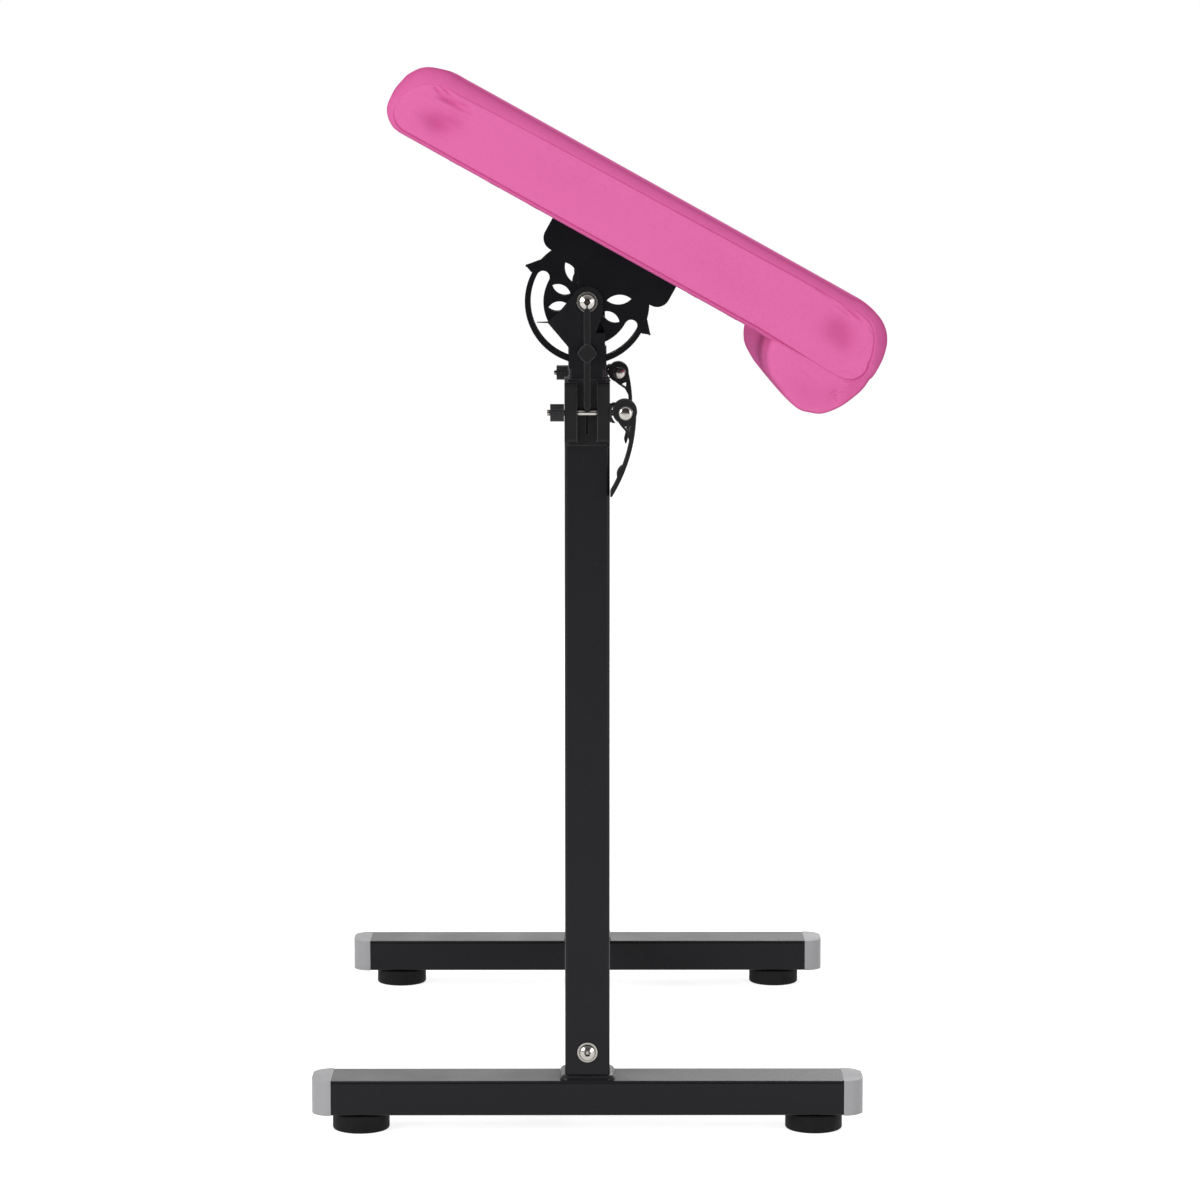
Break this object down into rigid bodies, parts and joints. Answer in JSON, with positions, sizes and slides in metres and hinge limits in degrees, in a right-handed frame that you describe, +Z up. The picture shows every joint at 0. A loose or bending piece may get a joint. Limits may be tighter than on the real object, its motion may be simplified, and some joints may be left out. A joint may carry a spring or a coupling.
{
  "type": "tattoo arm rest stand",
  "caption": "Height-adjustable stand with a wide padded rest that tilts on a slotted bracket, a rounded bolster along its low end, lever clamps on the columns and bars with rubber feet.",
  "frame": {"origin": "centre of the bounding box at floor level", "axes": "+Z up, X across the pad's short side with its low end towards +X, Y along the pad's long side with the slotted bracket's leg towards -Y"},
  "size_m": [0.4811, 0.6834, 0.8983],
  "materials": {
    "black_steel": "satin black powder coat",
    "black_plastic": "matt moulded black",
    "black_rubber": "matt",
    "grey_plastic": "satin light grey",
    "bright_steel": "zinc plated",
    "pink_vinyl": "pink vinyl upholstery over foam",
    "black_cloth": "black dust cover cloth",
    "plywood": "plain plywood"
  },
  "bodies": {
    "stand_base": {"near_foot_bar": "black_steel", "far_foot_bar": "black_steel", "bar_end_caps": "grey_plastic", "rubber_feet": "black_rubber", "foot_screws": "bright_steel", "foot_nuts": "bright_steel", "near_column": "black_steel", "far_column": "black_steel", "column_welds": "black_steel", "crossbar": "black_steel", "crossbar_inserts": "black_plastic", "crossbar_bolts": "bright_steel", "crossbar_washers": "bright_steel", "near_collar": "black_plastic", "far_collar": "black_plastic", "near_skewer": "bright_steel", "far_skewer": "bright_steel", "cam_cups": "black_plastic", "cam_pins": "bright_steel"},
    "posts": {"near_post": "black_steel", "far_post": "black_steel", "post_glides": "black_plastic", "near_fork": "black_steel", "far_fork": "black_steel", "pivot_bolts": "bright_steel", "pivot_washers": "bright_steel", "pivot_nuts": "bright_steel", "lock_stud": "bright_steel"},
    "rest": {"near_tilt_bracket": "black_steel", "far_tilt_bracket": "black_steel", "flange_screws": "bright_steel", "board_nuts": "bright_steel", "pad_board": "plywood", "bottom_cloth": "black_cloth", "pad_cushion": "pink_vinyl", "hand_bolster": "pink_vinyl"},
    "near_lever": {"near_clamp_lever": "black_plastic"},
    "far_lever": {"far_clamp_lever": "black_plastic"},
    "handle": {"tilt_handle": "black_plastic"},
    "near_nut": {"near_clamp_nut": "black_plastic"},
    "far_nut": {"far_clamp_nut": "black_plastic"}
  },
  "joints": [
    {"name": "height", "type": "slide", "parent": "stand_base", "child": "posts", "axis": [0, 0, 1], "range_m": [0, 0.3]},
    {"name": "tilt", "type": "hinge", "parent": "posts", "child": "rest", "pos_m": [-0.00512, 0, 0.707], "axis": [0, 1, 0], "range_deg": [-89, 16]},
    {"name": "near_lever_swing", "type": "hinge", "parent": "stand_base", "child": "near_lever", "pos_m": [0.02688, -0.3235, 0.615], "axis": [0, -1, 0], "range_deg": [0, 95]},
    {"name": "far_lever_swing", "type": "hinge", "parent": "stand_base", "child": "far_lever", "pos_m": [0.02688, 0.3235, 0.615], "axis": [0, -1, 0], "range_deg": [-15, 80]},
    {"name": "lock_turn", "type": "hinge", "parent": "posts", "child": "handle", "pos_m": [-0.00512, -0.33, 0.665], "axis": [0, -1, 0], "continuous": true},
    {"name": "near_nut_spin", "type": "hinge", "parent": "stand_base", "child": "near_nut", "pos_m": [-0.03012, -0.3235, 0.615], "axis": [-1, 0, 0], "continuous": true},
    {"name": "far_nut_spin", "type": "hinge", "parent": "stand_base", "child": "far_nut", "pos_m": [-0.03012, 0.3235, 0.615], "axis": [-1, 0, 0], "continuous": true}
  ]
}
